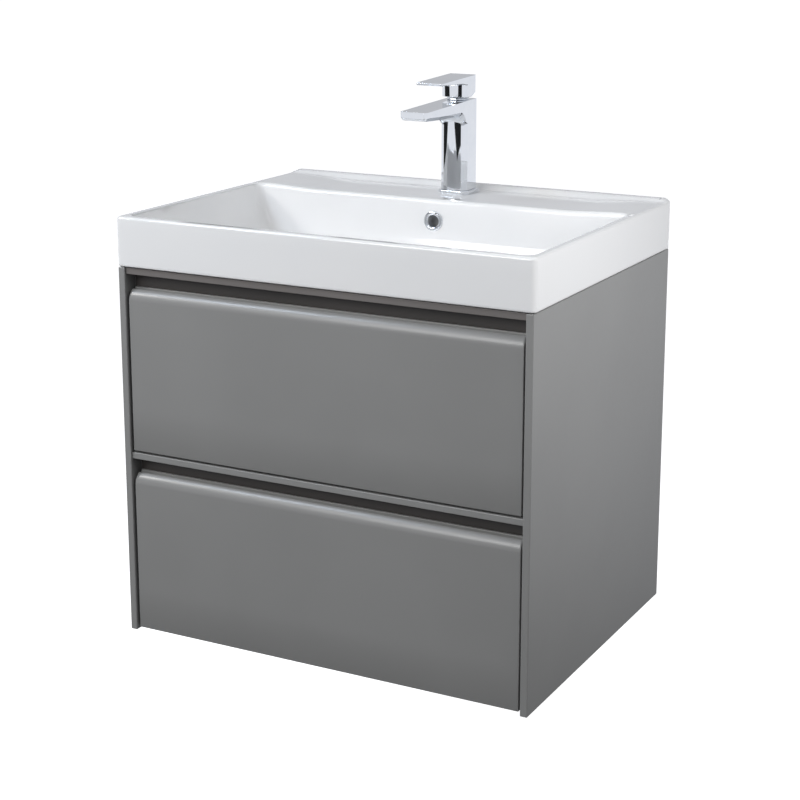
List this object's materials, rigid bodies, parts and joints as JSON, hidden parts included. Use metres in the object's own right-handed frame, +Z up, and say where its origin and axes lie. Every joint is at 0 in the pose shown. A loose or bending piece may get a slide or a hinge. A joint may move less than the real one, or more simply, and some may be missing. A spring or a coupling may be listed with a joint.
{
  "type": "bathroom vanity cabinet",
  "caption": "Wall-hung bathroom vanity cabinet with stacked finger-pull drawers, a one-piece ceramic basin and a single-lever mixer tap.",
  "frame": {"origin": "on the wall plane, on the centre line, level with the bottom edges of the side panels", "axes": "+X right as seen from the front, +Y into the wall, +Z up"},
  "size_m": [0.6, 0.461, 0.7395],
  "materials": {
    "lacquer": "satin lacquer",
    "lacquer_dark": "satin",
    "ceramic": "gloss",
    "chrome": "polished",
    "zinc_steel": "zinc plated",
    "board": "melamine faced",
    "white_plastic": "satin",
    "seal_rubber": "matte"
  },
  "bodies": {
    "carcass": {"side_left": "lacquer", "side_right": "lacquer", "top_rail": "lacquer_dark", "mid_rail": "lacquer_dark", "bottom_panel": "board", "hanging_rail": "board", "lower_back_rail": "board", "basin": "ceramic", "overflow_ring": "chrome", "waste_body": "chrome", "tap_base": "chrome", "tap_body": "chrome", "tap_aerator": "chrome", "tap_collar": "chrome", "cam_locks": "zinc_steel", "cam_bolts": "zinc_steel", "hanger_hooks": "zinc_steel", "wall_plates": "zinc_steel", "tap_stud": "zinc_steel", "tap_washer": "zinc_steel", "tap_nut": "zinc_steel", "runner_screws": "zinc_steel", "upper_left_outer_rail": "zinc_steel", "upper_right_outer_rail": "zinc_steel", "lower_left_outer_rail": "zinc_steel", "lower_right_outer_rail": "zinc_steel", "hangers": "white_plastic", "waste_nut": "white_plastic", "trap_head": "white_plastic", "trap_dip_tube": "white_plastic", "trap_cup": "white_plastic", "trap_nuts": "white_plastic", "trap_outlet_pipe": "white_plastic", "tap_cartridge": "white_plastic", "waste_seal": "seal_rubber"},
    "upper_drawer": {"upper_front": "lacquer", "upper_box_left": "board", "upper_box_right": "board", "upper_back": "board", "upper_bottom": "board", "upper_brackets": "zinc_steel", "upper_left_inner_rail": "zinc_steel", "upper_right_inner_rail": "zinc_steel", "upper_recess": "white_plastic"},
    "upper_runner_middles": {"upper_left_middle_rail": "zinc_steel", "upper_right_middle_rail": "zinc_steel"},
    "lower_drawer": {"lower_front": "lacquer", "lower_box_left": "board", "lower_box_right": "board", "lower_back": "board", "lower_bottom": "board", "lower_brackets": "zinc_steel", "lower_left_inner_rail": "zinc_steel", "lower_right_inner_rail": "zinc_steel"},
    "lower_runner_middles": {"lower_left_middle_rail": "zinc_steel", "lower_right_middle_rail": "zinc_steel"},
    "waste_plug": {"waste_plug": "chrome"},
    "tap_spindle": {"tap_stem": "zinc_steel", "tap_pivot_pin": "zinc_steel"},
    "tap_lever": {"tap_lever": "chrome"}
  },
  "joints": [
    {"name": "upper_drawer_slide", "type": "slide", "parent": "carcass", "child": "upper_drawer", "axis": [0, -1, 0], "range_m": [0, 0.35]},
    {"name": "upper_runner_middles_slide", "type": "slide", "parent": "carcass", "child": "upper_runner_middles", "axis": [0, -1, 0], "range_m": [0, 0.175]},
    {"name": "lower_drawer_slide", "type": "slide", "parent": "carcass", "child": "lower_drawer", "axis": [0, -1, 0], "range_m": [0, 0.35]},
    {"name": "lower_runner_middles_slide", "type": "slide", "parent": "carcass", "child": "lower_runner_middles", "axis": [0, -1, 0], "range_m": [0, 0.175]},
    {"name": "waste_plug_slide", "type": "slide", "parent": "carcass", "child": "waste_plug", "axis": [0, 0, 1], "range_m": [0, 0.008]},
    {"name": "tap_lever_turn", "type": "hinge", "parent": "carcass", "child": "tap_spindle", "pos_m": [0, -0.057, 0.7185], "axis": [0, 0, 1], "range_deg": [-45, 45]},
    {"name": "tap_lever_lift", "type": "hinge", "parent": "tap_spindle", "child": "tap_lever", "pos_m": [0, -0.057, 0.7185], "axis": [-1, 0, 0], "range_deg": [0, 25]}
  ],
  "couplings": [
    {"joint": "upper_runner_middles_slide", "follows": "upper_drawer_slide", "ratio": 0.5},
    {"joint": "lower_runner_middles_slide", "follows": "lower_drawer_slide", "ratio": 0.5}
  ]
}
